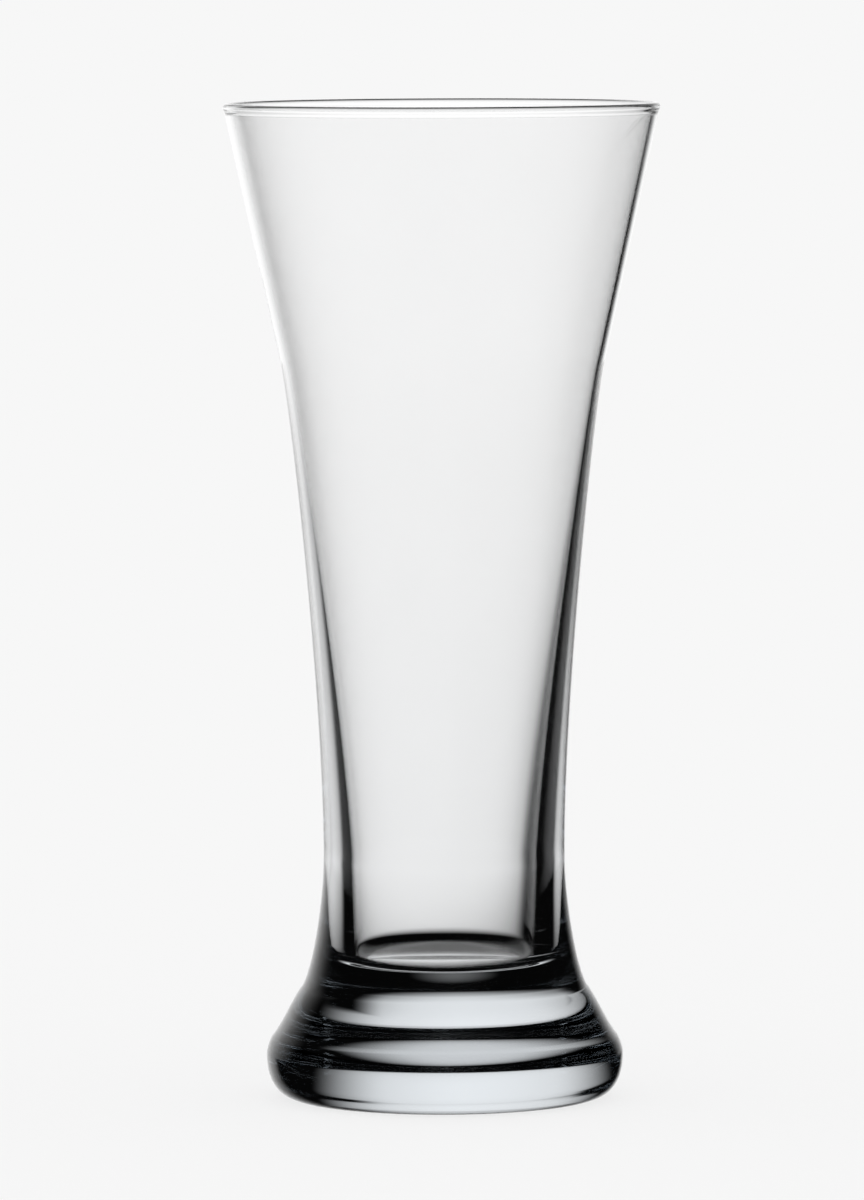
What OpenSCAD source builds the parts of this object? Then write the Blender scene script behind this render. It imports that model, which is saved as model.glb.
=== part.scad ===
// Pilsner glass, one piece of pressed and fire-polished glass.
// Origin: centre of the foot, on the table. +Z is the glass's axis, pointing out of the mouth.

/* [Bowl] */
// Height of the glass from the table to the top of the rim
glass_h = 178; // [165:1:195]
// Diameter over the mouth, where the wall meets the rim
mouth_d = 78; // [72:0.5:86]
// Lean of the wall at the mouth from upright, in degrees
mouth_lean = 12.35; // [10:0.05:14]
// Height of the straight cone below the rim
lip_cone_h = 46; // [30:1:55]
// Reach of the bend where the straight cone ends
knee_reach = 8; // [5:0.5:16]
// Thickness of the wall at the lip
lip_wall = 1.15; // [0.8:0.05:1.3]
// Diameter of the round bead that fire polishing leaves on the rim
rim_bead = 1.4; // [1.35:0.05:2]
// Height of the bowl's floor above the table, at its middle
floor_h = 22.1; // [20:0.1:26]
// Depth of the dish that the bowl's floor makes
floor_dish = 1.2; // [0.3:0.1:2]
// Diameter of the bowl just above its floor
floor_d = 33; // [29:0.1:34]
// Radius between the bowl's wall and its floor
floor_round = 2.9; // [1.5:0.1:5]

/* [Waist] */
// Diameter of the waist
waist_d = 43.2; // [42:0.1:46]
// Height of the waist above the table
waist_h = 43.4; // [38:0.1:46]
// Thickness of the wall at the waist
waist_wall = 4.95; // [4.2:0.05:6]
// Reach of the long curve that rises from the waist
waist_reach = 29; // [20:0.1:45]

/* [Foot] */
// Greatest diameter of the foot
foot_d = 63.9; // [61:0.1:70]
// Height of the foot's greatest diameter above the table
foot_h = 7.9; // [6:0.05:9.5]
// Lean of the foot's flare from upright, in degrees
flare_lean = 38.1; // [32:0.1:40]
// Reach of the round between the flare and the foot's greatest diameter
shoulder_reach = 1.95; // [1:0.05:3]
// Diameter of the throat, where the stem runs out into the flare
throat_d = 50.9; // [49:0.1:53]
// Height of the throat above the table
throat_h = 20.2; // [18.5:0.1:23]
// Lean of the wall at the throat from upright, in degrees
throat_lean = 27.9; // [22:0.1:32]
// Outer diameter of the ring that the glass stands on
ring_d = 52; // [46:0.1:56]
// Width of the ring that the glass stands on
ring_w = 3; // [1.5:0.1:6]
// Depth of the hollow under the foot
punt_depth = 0.4; // [0.2:0.1:1.2]
// Width of the hollow's sloping edge
punt_slope = 1.2; // [0.5:0.1:3]

/* [Hidden] */

// Facets round the axis
$fn = 180;
// Points on each stretch of an outline
curve_steps = 24;
round_steps = 12;
// Overrun of the cutters past the surface that they open
overrun = 1;

// How far each curve's end handle reaches, chosen to give the stem, throat and heel their fullness
stem_share = 0.32;
throat_share = 0.18;
flare_share = 0.25;
heel_share = 0.8;
ring_share = 0.43;
bowl_share = 0.18;
slope_share = 0.5;
// How the wall gains its thickness below the knee: 1 is evenly, more keeps it thin for longer
wall_growth = 1.35;

mouth_r = mouth_d / 2;
waist_r = waist_d / 2;
foot_r = foot_d / 2;
throat_r = throat_d / 2;
ring_r = ring_d / 2;
floor_r = floor_d / 2;

// The wall's top edge lies at the middle of the rim's bead
edge_h = glass_h - rim_bead / 2;
knee_h = glass_h - lip_cone_h;

// A point at a distance from p, up along a wall that leans outwards by lean degrees
function up(p, lean, reach) = [p[0] + reach * sin(lean), p[1] + reach * cos(lean)];

// A cubic curve from a to d, drawn towards b and c, without its first point
function curve(a, b, c, d, steps) = [
    for (i = [1:steps])
        let (t = i / steps, s = 1 - t)
            s * s * s * a + 3 * s * s * t * b + 3 * s * t * t * c + t * t * t * d
];

// A round of radius r from the wall at p, turning in and down to a floor, without its first point
function inner_round(p, r, steps) = [
    for (i = [1:steps])
        let (turn = 90 * i / steps)
            [p[0] - r * (1 - cos(turn)), p[1] - r * sin(turn)]
];

// A dished floor of radius r, from its edge in to the middle at height h, without its first point
function dished_floor(r, h, depth, steps) = [
    for (i = [1:steps])
        let (s = 1 - i / steps)
            [r * s, h + depth * s * s]
];

// Thickness of the wall at height h: even down to the knee, then growing to the waist
function wall_at(h) =
    lip_wall + (waist_wall - lip_wall) * pow(max(0, knee_h - h) / (knee_h - waist_h), wall_growth);

mouth = up([mouth_r, glass_h], mouth_lean, -rim_bead / 2 / cos(mouth_lean));
knee = up([mouth_r, glass_h], mouth_lean, -lip_cone_h / cos(mouth_lean));
waist = [waist_r, waist_h];
throat = [throat_r, throat_h];
shoulder = up([foot_r, foot_h + shoulder_reach], -flare_lean, shoulder_reach);
foot_edge = [foot_r, foot_h];
ring_edge = [ring_r, 0];

// The wall's outside from the mouth down to the waist
side_curve = concat(
    [mouth, knee],
    curve(knee, up(knee, mouth_lean, -knee_reach), up(waist, 0, waist_reach), waist, curve_steps)
);

// The outside from the waist down to the ring that the glass stands on
stem_drop = waist_h - throat_h;
flare_drop = throat_h - foot_h;
foot_curve = concat(
    curve(waist, up(waist, 0, -stem_share * stem_drop), up(throat, -throat_lean, throat_share * stem_drop),
        throat, curve_steps),
    curve(throat, up(throat, -throat_lean, -flare_share * flare_drop),
        up(shoulder, -flare_lean, flare_share * flare_drop), shoulder, round_steps),
    curve(shoulder, up(shoulder, -flare_lean, -shoulder_reach / 2), up(foot_edge, 0, shoulder_reach / 2),
        foot_edge, round_steps),
    curve(foot_edge, up(foot_edge, 0, -heel_share * foot_h),
        up(ring_edge, 90, ring_share * (foot_r - ring_r)), ring_edge, round_steps)
);

// The solid that the press mould gives, without its hollows
module body() {
    rotate_extrude()
        polygon(concat([[0, edge_h]], side_curve, foot_curve, [[0, 0]]));
}

// The hollow of the bowl: the outside wall moved in by its thickness, a rounded corner, a dished floor
module bowl() {
    corner = [floor_r, floor_h + floor_dish + floor_round];
    bowl_waist = [waist_r - waist_wall, waist_h];
    bowl_drop = waist_h - corner[1];
    wall_curve = [for (p = side_curve) [p[0] - wall_at(p[1]), p[1]]];
    top = wall_curve[0];
    rotate_extrude()
        polygon(concat(
            [[0, top[1] + overrun], [top[0], top[1] + overrun]],
            wall_curve,
            curve(bowl_waist, up(bowl_waist, 0, -bowl_share * bowl_drop), up(corner, 0, bowl_share * bowl_drop),
                corner, round_steps),
            inner_round(corner, floor_round, round_steps),
            dished_floor(floor_r - floor_round, floor_h, floor_dish, round_steps)
        ));
}

// The shallow hollow under the foot, which leaves a flat ring to stand on
module punt() {
    punt_edge = [ring_r - ring_w, 0];
    punt_top = [punt_edge[0] - punt_slope, punt_depth];
    ease = slope_share * punt_slope;
    rotate_extrude()
        polygon(concat(
            [[0, -overrun], [punt_edge[0], -overrun], punt_edge],
            curve(punt_edge, up(punt_edge, 90, -ease), up(punt_top, 90, ease), punt_top, round_steps),
            [[0, punt_depth]]
        ));
}

// The rim that fire polishing rounds over and thickens a little
module rim() {
    rotate_extrude()
        translate([mouth[0] - lip_wall / 2, edge_h])
            circle(d = rim_bead);
}

module glass() {
    color([0.84, 0.88, 0.88, 0.5]) {
        difference() {
            body();
            bowl();
            punt();
        }
        rim();
    }
}

glass();
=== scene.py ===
import bpy
import math
from mathutils import Matrix, Vector


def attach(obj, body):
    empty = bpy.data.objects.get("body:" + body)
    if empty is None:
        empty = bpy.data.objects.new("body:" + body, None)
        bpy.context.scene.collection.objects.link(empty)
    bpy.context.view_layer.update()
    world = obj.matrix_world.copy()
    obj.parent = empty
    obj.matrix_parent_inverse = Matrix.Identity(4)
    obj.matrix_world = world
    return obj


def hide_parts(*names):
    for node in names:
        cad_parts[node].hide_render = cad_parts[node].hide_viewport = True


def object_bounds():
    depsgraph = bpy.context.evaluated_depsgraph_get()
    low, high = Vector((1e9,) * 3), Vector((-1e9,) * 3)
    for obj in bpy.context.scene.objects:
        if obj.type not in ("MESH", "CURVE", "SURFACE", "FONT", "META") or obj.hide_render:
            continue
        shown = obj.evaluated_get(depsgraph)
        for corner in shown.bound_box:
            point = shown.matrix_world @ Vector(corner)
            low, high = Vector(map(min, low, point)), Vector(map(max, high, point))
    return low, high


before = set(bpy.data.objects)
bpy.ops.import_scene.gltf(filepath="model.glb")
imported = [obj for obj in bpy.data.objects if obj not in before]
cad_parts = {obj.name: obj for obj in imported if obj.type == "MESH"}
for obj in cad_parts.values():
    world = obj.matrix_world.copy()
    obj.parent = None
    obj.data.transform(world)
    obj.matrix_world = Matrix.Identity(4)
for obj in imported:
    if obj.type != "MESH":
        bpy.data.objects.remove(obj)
cad_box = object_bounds()
glass_h = cad_box[1][2]
MM = 0.001

# The photographer's camera stands well back with a long lens, a little over the level of the rim.
# It looks down at the middle of the glass, which lies at a measured spot of the picture.
# It is rolled a touch, so that the glass leans to the left by as much as it does in the photograph.
camera_back = 1700 * MM
look_down_on_rim = math.radians(1.2)
camera_roll = math.radians(-0.2)
picture_w_px = 864
picture_h_px = 1200
aim_x_px = 443.3
aim_y_px = 596.9
px_per_metre = 5597
sensor_side = 36
aim_h = 89.8 * MM
far_clip = 60
glass_bounces = 24
mirror_bounces = 16
aim = Vector((0, 0, aim_h))
stand = Vector((0, -camera_back, glass_h + camera_back * math.tan(look_down_on_rim)))
sight = aim - stand
turn = sight.to_track_quat("-Z", "Y").to_matrix() @ Matrix.Rotation(camera_roll, 3, "Z")
bpy.ops.object.camera_add(location=stand, rotation=turn.to_euler())
camera = bpy.context.object
camera.name = "camera"
camera.data.sensor_width = sensor_side
camera.data.lens = px_per_metre * sight.length * sensor_side / picture_h_px
camera.data.shift_x = (picture_w_px / 2 - aim_x_px) / picture_h_px
camera.data.shift_y = (aim_y_px - picture_h_px / 2) / picture_h_px
camera.data.clip_end = far_clip
bpy.context.scene.camera = camera
bpy.context.scene.view_settings.view_transform = "Standard"
bpy.context.scene.cycles.max_bounces = glass_bounces
bpy.context.scene.cycles.glossy_bounces = mirror_bounces
bpy.context.scene.cycles.transmission_bounces = glass_bounces


# The pilsner glass is one piece of clear soda-lime glass: a solid foot, a waist and a tall bowl.
# It is shaped in a mould, then turned in a flame that polishes its skin and rounds its rim.
# Its half outline is drawn point by point, from the middle of the underside to the bowl's floor.
def up(point, lean, reach):
    """The point that lies this far up a wall that leans outwards from upright."""
    return Vector((point[0] + reach * math.sin(lean), point[1] + reach * math.cos(lean)))


def curve(start, start_lean, start_reach, end, end_lean, end_reach, steps):
    """The points of a curve that leaves and meets walls of these leans, without its first one."""
    first_handle = up(start, start_lean, start_reach)
    second_handle = up(end, end_lean, end_reach)
    points = []
    for i in range(1, steps + 1):
        t = i / steps
        s = 1 - t
        points.append(s**3 * start + 3 * s * s * t * first_handle
                      + 3 * s * t * t * second_handle + t**3 * end)
    return points


def straight(start, end, steps):
    """Even points on a straight stretch, without its first one."""
    return [start.lerp(end, i / steps) for i in range(1, steps + 1)]


def arc(middle, radius, last_angle, steps):
    """The points of a round that starts level with its middle, on the outward side."""
    angles = [last_angle * i / steps for i in range(1, steps + 1)]
    return [middle + radius * Vector((math.cos(angle), math.sin(angle))) for angle in angles]


def draw(points):
    """Extrude the outline's free end through these points, one after another."""
    for point in points:
        step = (point[0] - pen[0], 0, point[1] - pen[1])
        bpy.ops.mesh.extrude_region_move(TRANSFORM_OT_translate={"value": step})
        pen[:] = point


# The underside is hollowed by less than a millimetre, so the foot stands on a flat ring.
# The hollow keeps the rough middle of the pressing off the table.
# A small square, merged to one point at the hollow's middle, is where the outline starts.
level_lean = math.radians(90)
ring_r = 26 * MM
ring_w = 3 * MM
punt_depth = 0.4 * MM
punt_slope = 1.2 * MM
slope_share = 0.5
punt_steps = 12
slope_steps = 8
ring_steps = 3
punt_middle = Vector((0, punt_depth))
punt_edge = Vector((ring_r - ring_w, 0))
punt_top = Vector((punt_edge[0] - punt_slope, punt_depth))
ring_edge = Vector((ring_r, 0))
ease = slope_share * punt_slope
bpy.ops.object.select_all(action="DESELECT")
bpy.ops.mesh.primitive_plane_add(size=ring_w, location=(0, 0, punt_depth))
glass = bpy.context.object
glass.name = "pilsner_glass"
bpy.ops.object.mode_set(mode="EDIT")
bpy.ops.mesh.merge(type="CENTER")
pen = punt_middle.copy()
draw(straight(punt_middle, punt_top, punt_steps))
draw(curve(punt_top, level_lean, ease, punt_edge, level_lean, -ease, slope_steps))
draw(straight(punt_edge, ring_edge, ring_steps))

# The foot is solid glass: a full round heel, a soft shoulder, and a flare that rises to the throat.
# It is the heaviest part, and it acts as a lens that folds the light into bright and dark bands.
foot_r = 31.95 * MM
foot_h = 7.9 * MM
heel_share = 0.8
ring_share = 0.43
shoulder_reach = 1.95 * MM
flare_lean = math.radians(38.1)
throat_r = 25.45 * MM
throat_h = 20.2 * MM
throat_lean = math.radians(27.9)
flare_share = 0.25
heel_steps = 24
shoulder_steps = 12
flare_steps = 16
foot_edge = Vector((foot_r, foot_h))
shoulder = up((foot_r, foot_h + shoulder_reach), -flare_lean, shoulder_reach)
throat = Vector((throat_r, throat_h))
heel_reach = heel_share * foot_h
toe_reach = ring_share * (foot_r - ring_r)
flare_reach = flare_share * (throat_h - foot_h)
half_shoulder = shoulder_reach / 2
draw(curve(ring_edge, level_lean, toe_reach, foot_edge, 0, -heel_reach, heel_steps))
draw(curve(foot_edge, 0, half_shoulder, shoulder, -flare_lean, -half_shoulder, shoulder_steps))
draw(curve(shoulder, -flare_lean, flare_reach, throat, -flare_lean, -flare_reach, flare_steps))

# The waist is drawn in above the throat, where the hand holds the glass.
# From there one long curve opens to the knee, and a straight cone runs on to the lip.
waist_r = 21.6 * MM
waist_h = 43.4 * MM
stem_share = 0.32
throat_share = 0.18
waist_reach = 29 * MM
mouth_r = 39 * MM
mouth_lean = math.radians(12.35)
lip_cone_h = 46 * MM
knee_reach = 8 * MM
bead_r = 0.7 * MM
gather = 1.4 * MM
stem_steps = 28
side_steps = 60
cone_steps = 14
waist = Vector((waist_r, waist_h))
stem_drop = waist_h - throat_h
stem_reach = stem_share * stem_drop
throat_reach = throat_share * stem_drop
mouth = up((mouth_r, glass_h), mouth_lean, -bead_r / math.cos(mouth_lean))
knee = up((mouth_r, glass_h), mouth_lean, -lip_cone_h / math.cos(mouth_lean))
under_bead = up(mouth, mouth_lean, -gather)
draw(curve(throat, -throat_lean, throat_reach, waist, 0, -stem_reach, stem_steps))
side = curve(waist, 0, waist_reach, knee, mouth_lean, -knee_reach, side_steps)
# The cone's points lie closer together towards the lip
side += [knee.lerp(under_bead, 1 - (1 - i / cone_steps)**2) for i in range(1, cone_steps + 1)]
draw(side)

# The flame gathers the lip into a round bead, a little thicker than the wall under it.
# The wall swells into the bead over about a millimetre, and there is no sharp edge anywhere.
lip_wall = 1.15 * MM
swell_steps = 10
bead_steps = 20
bead_middle = Vector((mouth[0] - lip_wall / 2, mouth[1]))
bead_outside = bead_middle + Vector((bead_r, 0))
bead_inside = bead_middle - Vector((bead_r, 0))
swell_reach = gather / 2
bead_reach = gather / 3
draw(curve(under_bead, mouth_lean, swell_reach, bead_outside, 0, -bead_reach, swell_steps))
draw(arc(bead_middle, bead_r, math.radians(180), bead_steps))

# The bowl follows the outside wall, which thickens steadily from the knee to the waist.
# It ends in a round corner and a floor that is dished a little towards its middle.
waist_wall = 4.95 * MM
wall_growth = 1.35
floor_r = 16.5 * MM
floor_h = 22.1 * MM
floor_dish = 1.2 * MM
floor_round = 2.9 * MM
bowl_share = 0.18
bowl_steps = 14
corner_steps = 14
floor_steps = 16


def inside(point):
    """The bowl's side of the wall at a point of its outside."""
    grown = max(0, knee[1] - point[1]) / (knee[1] - waist_h)
    return Vector((point[0] - lip_wall - (waist_wall - lip_wall) * grown**wall_growth, point[1]))


corner = Vector((floor_r, floor_h + floor_dish + floor_round))
corner_middle = corner - Vector((floor_round, 0))
bowl_waist = inside(waist)
bowl_reach = bowl_share * (waist_h - corner[1])
inner_lip = inside(under_bead)
draw(curve(bead_inside, 0, -bead_reach, inner_lip, mouth_lean, swell_reach, swell_steps))
draw([inside(point) for point in reversed(side[:-1])])
draw([bowl_waist])
draw(curve(bowl_waist, 0, -bowl_reach, corner, 0, bowl_reach, bowl_steps))
draw(arc(corner_middle, floor_round, math.radians(-90), corner_steps))
for i in range(1, floor_steps + 1):
    out = 1 - i / floor_steps
    draw([Vector(((floor_r - floor_round) * out, floor_h + floor_dish * out**2))])

# The whole outline is spun once round the upright axis, and its seam and its two poles are closed.
# The mesh then holds the piece at its real place, with its object at the origin.
turn_steps = 256
weld_gap = 0.002 * MM
bpy.ops.mesh.select_all(action="SELECT")
bpy.ops.mesh.spin(steps=turn_steps, angle=math.radians(360), center=(0, 0, 0), axis=(0, 0, 1))
bpy.ops.mesh.select_all(action="SELECT")
bpy.ops.mesh.remove_doubles(threshold=weld_gap)
bpy.ops.mesh.normals_make_consistent(inside=False)
bpy.ops.object.mode_set(mode="OBJECT")
bpy.ops.object.transform_apply(location=True, rotation=True, scale=True)
bpy.ops.object.shade_smooth()

# Clear glass takes its look from what it bends, so its only colour is the cool grey of its depth.
# Fire polish leaves slow ripples, and tables leave fine scuffs on the ring under the foot.
refraction = 1.52
ripple_height = 0.012 * MM
ripples_per_metre = 55
ripple_detail = 1.5
film_grey = (0.985, 0.985, 0.985, 1)
full_white = (1, 1, 1, 1)
scuff_top = 0.5 * MM
scuffs_per_metre = 1800
scuff_detail = 3
scuff_haze = 0.3
depth_grey = (0.28, 0.4, 0.5, 1)
depth_per_metre = 6
clear = bpy.data.materials.new("clear_soda_lime")
clear.use_nodes = True
nodes = clear.node_tree.nodes
join = clear.node_tree.links.new
shader = nodes["Principled BSDF"]
shader.inputs["Transmission Weight"].default_value = 1.0
shader.inputs["IOR"].default_value = refraction
place = nodes.new("ShaderNodeTexCoord")
ripple = nodes.new("ShaderNodeTexNoise")
ripple.inputs["Scale"].default_value = ripples_per_metre
ripple.inputs["Detail"].default_value = ripple_detail
join(place.outputs["Object"], ripple.inputs["Vector"])
bump = nodes.new("ShaderNodeBump")
bump.inputs["Distance"].default_value = ripple_height
join(ripple.outputs["Fac"], bump.inputs["Height"])
join(bump.outputs["Normal"], shader.inputs["Normal"])
film = nodes.new("ShaderNodeMix")
film.data_type = "RGBA"
film.inputs["A"].default_value = film_grey
film.inputs["B"].default_value = full_white
join(ripple.outputs["Fac"], film.inputs["Factor"])
join(film.outputs["Result"], shader.inputs["Base Color"])
split = nodes.new("ShaderNodeSeparateXYZ")
join(place.outputs["Object"], split.inputs["Vector"])
near_table = nodes.new("ShaderNodeMapRange")
near_table.inputs["From Min"].default_value = scuff_top
near_table.inputs["From Max"].default_value = 0
join(split.outputs["Z"], near_table.inputs["Value"])
scuff = nodes.new("ShaderNodeTexNoise")
scuff.inputs["Scale"].default_value = scuffs_per_metre
scuff.inputs["Detail"].default_value = scuff_detail
join(place.outputs["Object"], scuff.inputs["Vector"])
worn = nodes.new("ShaderNodeMath")
worn.operation = "MULTIPLY"
join(near_table.outputs["Result"], worn.inputs[0])
join(scuff.outputs["Fac"], worn.inputs[1])
dulled = nodes.new("ShaderNodeMapRange")
dulled.inputs["To Max"].default_value = scuff_haze
join(worn.outputs["Value"], dulled.inputs["Value"])
join(dulled.outputs["Result"], shader.inputs["Roughness"])
depth = nodes.new("ShaderNodeVolumeAbsorption")
depth.inputs["Color"].default_value = depth_grey
depth.inputs["Density"].default_value = depth_per_metre
join(depth.outputs["Volume"], nodes["Material Output"].inputs["Volume"])
glass.data.materials.append(clear)
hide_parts("glass")
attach(glass, "root")

# The floor is a wide pale sheet under an even white dome, and the two meet in the same white.
# Most of that white is the sheet's own, so the glass's soft shadow on it is faint.
# The glass itself takes no light from the sheet.
floor_span = 20
floor_sides = 64
dome_white = 1.0
pale_white = 0.93
own_share = 0.8
lit_white = pale_white * (1 - own_share)


def camera_sees(tree, seen, unseen):
    """A strength that is one level where the camera looks straight at it, and another elsewhere."""
    sight_lines = tree.nodes.new("ShaderNodeLightPath")
    level = tree.nodes.new("ShaderNodeMapRange")
    level.inputs["To Min"].default_value = unseen
    level.inputs["To Max"].default_value = seen
    tree.links.new(sight_lines.outputs["Is Camera Ray"], level.inputs["Value"])
    return level.outputs["Result"]


bpy.ops.object.select_all(action="DESELECT")
bpy.ops.mesh.primitive_circle_add(vertices=floor_sides, radius=floor_span, fill_type="NGON")
table = bpy.context.object
table.name = "pale_floor"
sheet = bpy.data.materials.new("pale_sheet")
sheet.use_nodes = True
matt = sheet.node_tree.nodes["Principled BSDF"]
matt.inputs["Base Color"].default_value = (lit_white, lit_white, lit_white, 1)
matt.inputs["Roughness"].default_value = 1.0
matt.inputs["Specular IOR Level"].default_value = 0.0
matt.inputs["Emission Color"].default_value = full_white
own_white = camera_sees(sheet.node_tree, pale_white * own_share, 0)
sheet.node_tree.links.new(own_white, matt.inputs["Emission Strength"])
table.data.materials.append(sheet)
table.visible_transmission = False
table.visible_glossy = False
dome = bpy.data.worlds.new("white_dome")
dome.use_nodes = True
bpy.context.scene.world = dome
sky = dome.node_tree.nodes["Background"]
sky.inputs["Color"].default_value = full_white
sky_white = camera_sees(dome.node_tree, pale_white, dome_white)
dome.node_tree.links.new(sky_white, sky.inputs["Strength"])

# Black cloth is hung all round, out of the picture, with one round white window behind the glass.
# The window is a softbox, brightest in its middle, with two black cards before its lower corners.
# Glass lit so has bright middles and dark edges. Cloth, window and cards turn with the camera.
tent_r = 9
tent_sides = 64
tent_rings = 32
window_across = math.radians(-4)
window_rise = math.radians(12)
window_half_left = math.radians(43)
window_half_right = math.radians(29.5)
window_half_h = math.radians(39)
window_roundness = 1.7
rim_blur = 0.45
rim_level = 0.78
upper_from = math.radians(15)
upper_blur = math.radians(3)
upper_level = 0.8
left_card = math.radians(-39)
right_card = math.radians(19)
card_blur = math.radians(5)
card_top = math.radians(-1)
card_top_blur = math.radians(2)
window_light = 1.13
cloth_light = 0.002
bpy.ops.object.select_all(action="DESELECT")
bpy.ops.mesh.primitive_uv_sphere_add(segments=tent_sides, ring_count=tent_rings, radius=tent_r)
tent = bpy.context.object
tent.name = "black_tent"
cloth = bpy.data.materials.new("tent_cloth")
cloth.use_nodes = True
cloth.cycles.emission_sampling = "NONE"
cloth_nodes = cloth.node_tree.nodes
cloth_links = cloth.node_tree.links
cloth_nodes.clear()


def worked(operation, first, second=0):
    """One sum on two numbers or node outputs."""
    made = cloth_nodes.new("ShaderNodeMath")
    made.operation = operation
    for socket, value in zip(made.inputs, (first, second)):
        if isinstance(value, bpy.types.NodeSocket):
            cloth_links.new(value, socket)
        else:
            socket.default_value = value
    return made.outputs["Value"]


def edge(angle, dark_at, light_at, dark_level=0.0):
    """A soft edge, from dark at one angle to full light at another."""
    made = cloth_nodes.new("ShaderNodeMapRange")
    made.interpolation_type = "SMOOTHSTEP"
    made.inputs["From Min"].default_value = dark_at
    made.inputs["From Max"].default_value = light_at
    made.inputs["To Min"].default_value = dark_level
    cloth_links.new(angle, made.inputs["Value"])
    return made.outputs["Result"]


# The tent hangs on the camera, so straight ahead is its -Z, right is its X and up is its Y.
# Across is the angle from straight ahead to the right, and rise is the angle up.
spot = cloth_nodes.new("ShaderNodeTexCoord")
axes = cloth_nodes.new("ShaderNodeSeparateXYZ")
cloth_links.new(spot.outputs["Object"], axes.inputs["Vector"])
ahead = worked("MULTIPLY", axes.outputs["Z"], -1)
across = worked("ARCTAN2", axes.outputs["X"], ahead)
level_squared = worked("ADD", worked("POWER", axes.outputs["X"], 2), worked("POWER", ahead, 2))
rise = worked("ARCTAN2", axes.outputs["Y"], worked("SQRT", level_squared))

# Reach is 0 in the middle of the window and 1 on its rim
sideways = worked("SUBTRACT", across, window_across)
to_left = worked("DIVIDE", sideways, -window_half_left)
to_right = worked("DIVIDE", sideways, window_half_right)
to_side = worked("POWER", worked("MAXIMUM", to_left, to_right), window_roundness)
off_middle = worked("ABSOLUTE", worked("SUBTRACT", rise, window_rise))
to_end = worked("POWER", worked("DIVIDE", off_middle, window_half_h), window_roundness)
reach = worked("POWER", worked("ADD", to_side, to_end), 1 / window_roundness)
pane = worked("MULTIPLY", edge(reach, 1 + rim_blur, 1 - rim_blur), edge(reach, 1, 0, rim_level))
dimmer_top = edge(rise, upper_from + upper_blur, upper_from - upper_blur, upper_level)
window = worked("MULTIPLY", pane, dimmer_top)

# The cards darken what lies outside them on either side, up to their tops
right_of_left_card = edge(across, left_card - card_blur, left_card + card_blur)
left_of_right_card = edge(across, right_card + card_blur, right_card - card_blur)
between_cards = worked("MULTIPLY", right_of_left_card, left_of_right_card)
over_cards = edge(rise, card_top - card_top_blur, card_top + card_top_blur)
past_cards = worked("MAXIMUM", between_cards, over_cards)
window_glow = worked("MULTIPLY", worked("MULTIPLY", window, past_cards), window_light)
light = worked("ADD", window_glow, cloth_light)

# The glass's shadow on the floor is lit from all round, so there the cloth counts as white
rays = cloth_nodes.new("ShaderNodeLightPath")
off_floor = worked("GREATER_THAN", rays.outputs["Diffuse Depth"])
strength = worked("MAXIMUM", light, off_floor)
glow = cloth_nodes.new("ShaderNodeEmission")
cloth_links.new(strength, glow.inputs["Strength"])
cloth_out = cloth_nodes.new("ShaderNodeOutputMaterial")
cloth_links.new(glow.outputs["Emission"], cloth_out.inputs["Surface"])
tent.data.materials.append(cloth)
tent.visible_camera = False
tent.visible_diffuse = False
tent.visible_shadow = False
tent.visible_volume_scatter = False
tent.parent = camera
tent.matrix_parent_inverse = Matrix.Identity(4)
tent.location = (0, 0, -sight.length)
